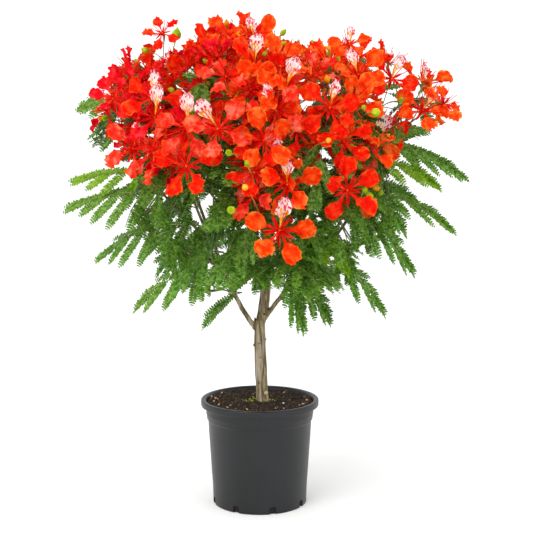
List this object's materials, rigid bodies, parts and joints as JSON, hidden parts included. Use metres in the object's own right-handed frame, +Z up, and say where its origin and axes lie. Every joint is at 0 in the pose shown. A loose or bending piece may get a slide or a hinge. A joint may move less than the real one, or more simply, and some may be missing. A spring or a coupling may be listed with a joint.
{
  "type": "potted royal poinciana",
  "caption": "Small royal poinciana tree in full flower, with a short forked trunk, feathery leaves and a dome of red blossom, growing in a plain round nursery pot.",
  "frame": {"origin": "centre of the pot's flat underside", "axes": "+Z up, +X to the right and -Y towards the front, as the picture shows the plant"},
  "size_m": [0.9085, 0.8449, 1.1649],
  "materials": {
    "pot_plastic": "black moulded plastic with a soft sheen",
    "potting_mix": "damp dark bark mix",
    "bark": "smooth grey brown bark",
    "young_bark": "smooth olive bark",
    "foliage": "matte green leaf",
    "blossom": "matte red petal"
  },
  "bodies": {
    "root": {"blossom_back": "blossom", "blossom_back_left": "blossom", "blossom_back_right": "blossom", "blossom_front": "blossom", "blossom_front_left": "blossom", "blossom_front_right": "blossom", "blossom_left": "blossom", "blossom_middle": "blossom", "blossom_right": "blossom", "blossom_shoulder_left": "blossom", "blossom_shoulder_right": "blossom", "blossom_top": "blossom", "blossom_top_back": "blossom", "blossom_top_right": "blossom", "blossom_upper_left": "blossom", "bough_back": "bark", "bough_centre": "bark", "bough_front": "bark", "bough_left": "bark", "bough_right": "bark", "branch_to_blossom_back": "young_bark", "branch_to_blossom_back_left": "young_bark", "branch_to_blossom_back_right": "young_bark", "branch_to_blossom_front": "young_bark", "branch_to_blossom_front_left": "young_bark", "branch_to_blossom_front_right": "young_bark", "branch_to_blossom_left": "young_bark", "branch_to_blossom_middle": "young_bark", "branch_to_blossom_right": "young_bark", "branch_to_blossom_shoulder_left": "young_bark", "branch_to_blossom_shoulder_right": "young_bark", "branch_to_blossom_top": "young_bark", "branch_to_blossom_top_back": "young_bark", "branch_to_blossom_top_right": "young_bark", "branch_to_blossom_upper_left": "young_bark", "branch_to_foliage_back": "young_bark", "branch_to_foliage_back_left": "young_bark", "branch_to_foliage_back_right": "young_bark", "branch_to_foliage_front": "young_bark", "branch_to_foliage_front_left": "young_bark", "branch_to_foliage_front_right": "young_bark", "branch_to_foliage_left": "young_bark", "branch_to_foliage_right": "young_bark", "foliage_back": "foliage", "foliage_back_left": "foliage", "foliage_back_right": "foliage", "foliage_front": "foliage", "foliage_front_left": "foliage", "foliage_front_right": "foliage", "foliage_left": "foliage", "foliage_right": "foliage", "pot": "pot_plastic", "soil": "potting_mix", "trunk": "bark"}
  },
  "joints": []
}
